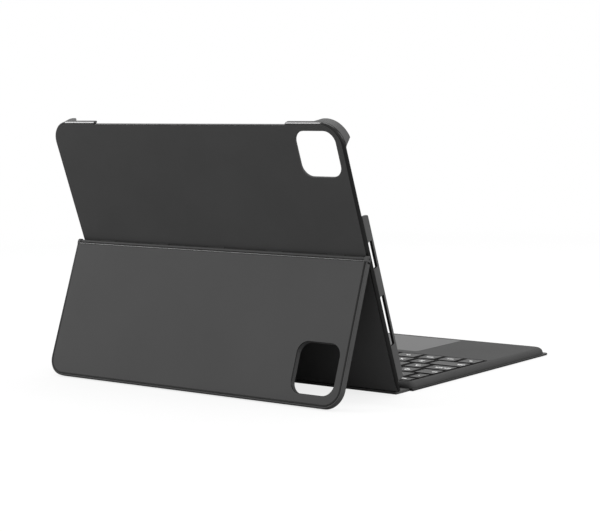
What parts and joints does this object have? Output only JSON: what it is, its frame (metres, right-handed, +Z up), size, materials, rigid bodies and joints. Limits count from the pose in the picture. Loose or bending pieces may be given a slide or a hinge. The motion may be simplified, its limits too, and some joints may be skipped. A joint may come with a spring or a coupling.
{
  "type": "tablet keyboard case",
  "caption": "Hinged tablet keyboard case: keyboard deck with touch pad, folding spine, snap-in tablet tray and a flip-out stand.",
  "frame": {"origin": "centre of the keyboard's underside, on the surface it rests on", "axes": "+X to the user's right, +Y away from the user, +Z up"},
  "size_m": [0.2546, 0.2697, 0.1818],
  "materials": {
    "soft_touch_cover": "matt soft-touch polyurethane",
    "tray_plastic": "matt moulded polycarbonate",
    "hinge_plastic": "matt moulded",
    "microfibre": "brushed microfibre",
    "deck_plastic": "fine matt texture",
    "touch_pad_surface": "smooth matt",
    "black_plastic": "matt moulded",
    "keycap_plastic": "fine matt texture",
    "scissor_nylon": "moulded nylon",
    "steel": "plain",
    "membrane_film": "printed film",
    "dome_rubber": "silicone",
    "circuit_board": "solder mask",
    "battery_foil": "laminated foil pouch",
    "light_pipe": "clear moulded",
    "bronze": "plain"
  },
  "bodies": {
    "keyboard": {"base_cover": "soft_touch_cover", "bottom_case": "deck_plastic", "deck": "deck_plastic", "key_frame": "black_plastic", "key_support_plate": "steel", "membrane_sheet": "membrane_film", "rubber_domes": "dome_rubber", "scissor_links": "scissor_nylon", "main_board": "circuit_board", "battery_cells": "battery_foil", "flat_cables": "membrane_film", "charge_port": "steel", "status_light": "light_pipe", "case_screws": "steel", "closing_magnets": "steel", "pad_switch": "steel", "pad_bracket": "steel"},
    "spine": {"spine_cover": "soft_touch_cover", "spine_board": "black_plastic", "spine_lining": "microfibre"},
    "tray": {"tablet_tray": "tray_plastic", "tray_lining": "microfibre", "back_cover": "soft_touch_cover", "cover_lining": "microfibre", "hinge_rail": "hinge_plastic", "rail_screws": "steel", "friction_sleeves": "bronze", "keeper_discs": "steel"},
    "stand": {"stand_frame": "soft_touch_cover", "stand_skin": "soft_touch_cover", "stand_lining": "microfibre", "stand_stiffener": "steel", "stand_magnets": "steel", "hinge_pins": "steel"},
    "touch_pad_plate": {"touch_pad": "touch_pad_surface", "pad_board": "circuit_board"},
    "switch_slider": {"power_switch": "keycap_plastic"},
    "function_keys_cap": {"function_keys": "keycap_plastic"},
    "key_backquote_cap": {"key_backquote": "keycap_plastic"},
    "number_keys_cap": {"number_keys": "keycap_plastic"},
    "key_backspace_cap": {"key_backspace": "keycap_plastic"},
    "key_tab_cap": {"key_tab": "keycap_plastic"},
    "upper_letter_keys_cap": {"upper_letter_keys": "keycap_plastic"},
    "key_backslash_cap": {"key_backslash": "keycap_plastic"},
    "key_caps_lock_cap": {"key_caps_lock": "keycap_plastic"},
    "home_letter_keys_cap": {"home_letter_keys": "keycap_plastic"},
    "key_enter_cap": {"key_enter": "keycap_plastic"},
    "key_left_shift_cap": {"key_left_shift": "keycap_plastic"},
    "lower_letter_keys_cap": {"lower_letter_keys": "keycap_plastic"},
    "key_right_shift_cap": {"key_right_shift": "keycap_plastic"},
    "modifier_keys_cap": {"modifier_keys": "keycap_plastic"},
    "key_left_alt_cap": {"key_left_alt": "keycap_plastic"},
    "key_space_cap": {"key_space": "keycap_plastic"},
    "key_right_alt_cap": {"key_right_alt": "keycap_plastic"},
    "key_right_control_cap": {"key_right_control": "keycap_plastic"},
    "key_arrow_left_cap": {"key_arrow_left": "keycap_plastic"},
    "key_arrow_up_cap": {"key_arrow_up": "keycap_plastic"},
    "key_arrow_down_cap": {"key_arrow_down": "keycap_plastic"},
    "key_arrow_right_cap": {"key_arrow_right": "keycap_plastic"}
  },
  "joints": [
    {"name": "spine_fold", "type": "hinge", "parent": "keyboard", "child": "spine", "pos_m": [0, 0.092, 0.0009], "axis": [1, 0, 0], "range_deg": [0, 90]},
    {"name": "tray_fold", "type": "hinge", "parent": "spine", "child": "tray", "pos_m": [0, 0.106, 0.0009], "axis": [1, 0, 0], "range_deg": [-66, 19.8]},
    {"name": "stand_hinge", "type": "hinge", "parent": "tray", "child": "stand", "pos_m": [0, 0.14247, 0.09246], "axis": [1, 0, 0], "range_deg": [-39.75, 140.25]},
    {"name": "touch_pad_press", "type": "hinge", "parent": "keyboard", "child": "touch_pad_plate", "pos_m": [0, -0.0215, 0.0047], "axis": [1, 0, 0], "range_deg": [0, 0.35], "stiffness_Nm_per_rad": 15},
    {"name": "power_switch_slide", "type": "slide", "parent": "keyboard", "child": "switch_slider", "axis": [0, 1, 0], "range_m": [0, 0.003]},
    {"name": "function_keys_press", "type": "slide", "parent": "keyboard", "child": "function_keys_cap", "axis": [0, 0, -1], "range_m": [0, 0.001], "stiffness_N_per_m": 7000, "deforming": ["rubber_domes", "scissor_links"]},
    {"name": "key_backquote_press", "type": "slide", "parent": "keyboard", "child": "key_backquote_cap", "axis": [0, 0, -1], "range_m": [0, 0.001], "stiffness_N_per_m": 500, "deforming": ["rubber_domes", "scissor_links"]},
    {"name": "number_keys_press", "type": "slide", "parent": "keyboard", "child": "number_keys_cap", "axis": [0, 0, -1], "range_m": [0, 0.001], "stiffness_N_per_m": 6000, "deforming": ["rubber_domes", "scissor_links"]},
    {"name": "key_backspace_press", "type": "slide", "parent": "keyboard", "child": "key_backspace_cap", "axis": [0, 0, -1], "range_m": [0, 0.001], "stiffness_N_per_m": 500, "deforming": ["rubber_domes", "scissor_links"]},
    {"name": "key_tab_press", "type": "slide", "parent": "keyboard", "child": "key_tab_cap", "axis": [0, 0, -1], "range_m": [0, 0.001], "stiffness_N_per_m": 500, "deforming": ["rubber_domes", "scissor_links"]},
    {"name": "upper_letter_keys_press", "type": "slide", "parent": "keyboard", "child": "upper_letter_keys_cap", "axis": [0, 0, -1], "range_m": [0, 0.001], "stiffness_N_per_m": 6000, "deforming": ["rubber_domes", "scissor_links"]},
    {"name": "key_backslash_press", "type": "slide", "parent": "keyboard", "child": "key_backslash_cap", "axis": [0, 0, -1], "range_m": [0, 0.001], "stiffness_N_per_m": 500, "deforming": ["rubber_domes", "scissor_links"]},
    {"name": "key_caps_lock_press", "type": "slide", "parent": "keyboard", "child": "key_caps_lock_cap", "axis": [0, 0, -1], "range_m": [0, 0.001], "stiffness_N_per_m": 500, "deforming": ["rubber_domes", "scissor_links"]},
    {"name": "home_letter_keys_press", "type": "slide", "parent": "keyboard", "child": "home_letter_keys_cap", "axis": [0, 0, -1], "range_m": [0, 0.001], "stiffness_N_per_m": 5500, "deforming": ["rubber_domes", "scissor_links"]},
    {"name": "key_enter_press", "type": "slide", "parent": "keyboard", "child": "key_enter_cap", "axis": [0, 0, -1], "range_m": [0, 0.001], "stiffness_N_per_m": 500, "deforming": ["rubber_domes", "scissor_links"]},
    {"name": "key_left_shift_press", "type": "slide", "parent": "keyboard", "child": "key_left_shift_cap", "axis": [0, 0, -1], "range_m": [0, 0.001], "stiffness_N_per_m": 500, "deforming": ["rubber_domes", "scissor_links"]},
    {"name": "lower_letter_keys_press", "type": "slide", "parent": "keyboard", "child": "lower_letter_keys_cap", "axis": [0, 0, -1], "range_m": [0, 0.001], "stiffness_N_per_m": 5000, "deforming": ["rubber_domes", "scissor_links"]},
    {"name": "key_right_shift_press", "type": "slide", "parent": "keyboard", "child": "key_right_shift_cap", "axis": [0, 0, -1], "range_m": [0, 0.001], "stiffness_N_per_m": 500, "deforming": ["rubber_domes", "scissor_links"]},
    {"name": "modifier_keys_press", "type": "slide", "parent": "keyboard", "child": "modifier_keys_cap", "axis": [0, 0, -1], "range_m": [0, 0.001], "stiffness_N_per_m": 1500, "deforming": ["rubber_domes", "scissor_links"]},
    {"name": "key_left_alt_press", "type": "slide", "parent": "keyboard", "child": "key_left_alt_cap", "axis": [0, 0, -1], "range_m": [0, 0.001], "stiffness_N_per_m": 500, "deforming": ["rubber_domes", "scissor_links"]},
    {"name": "key_space_press", "type": "slide", "parent": "keyboard", "child": "key_space_cap", "axis": [0, 0, -1], "range_m": [0, 0.001], "stiffness_N_per_m": 500, "deforming": ["rubber_domes", "scissor_links"]},
    {"name": "key_right_alt_press", "type": "slide", "parent": "keyboard", "child": "key_right_alt_cap", "axis": [0, 0, -1], "range_m": [0, 0.001], "stiffness_N_per_m": 500, "deforming": ["rubber_domes", "scissor_links"]},
    {"name": "key_right_control_press", "type": "slide", "parent": "keyboard", "child": "key_right_control_cap", "axis": [0, 0, -1], "range_m": [0, 0.001], "stiffness_N_per_m": 500, "deforming": ["rubber_domes", "scissor_links"]},
    {"name": "key_arrow_left_press", "type": "slide", "parent": "keyboard", "child": "key_arrow_left_cap", "axis": [0, 0, -1], "range_m": [0, 0.001], "stiffness_N_per_m": 500, "deforming": ["rubber_domes", "scissor_links"]},
    {"name": "key_arrow_up_press", "type": "slide", "parent": "keyboard", "child": "key_arrow_up_cap", "axis": [0, 0, -1], "range_m": [0, 0.001], "stiffness_N_per_m": 500, "deforming": ["rubber_domes", "scissor_links"]},
    {"name": "key_arrow_down_press", "type": "slide", "parent": "keyboard", "child": "key_arrow_down_cap", "axis": [0, 0, -1], "range_m": [0, 0.001], "stiffness_N_per_m": 500, "deforming": ["rubber_domes", "scissor_links"]},
    {"name": "key_arrow_right_press", "type": "slide", "parent": "keyboard", "child": "key_arrow_right_cap", "axis": [0, 0, -1], "range_m": [0, 0.001], "stiffness_N_per_m": 500, "deforming": ["rubber_domes", "scissor_links"]}
  ]
}
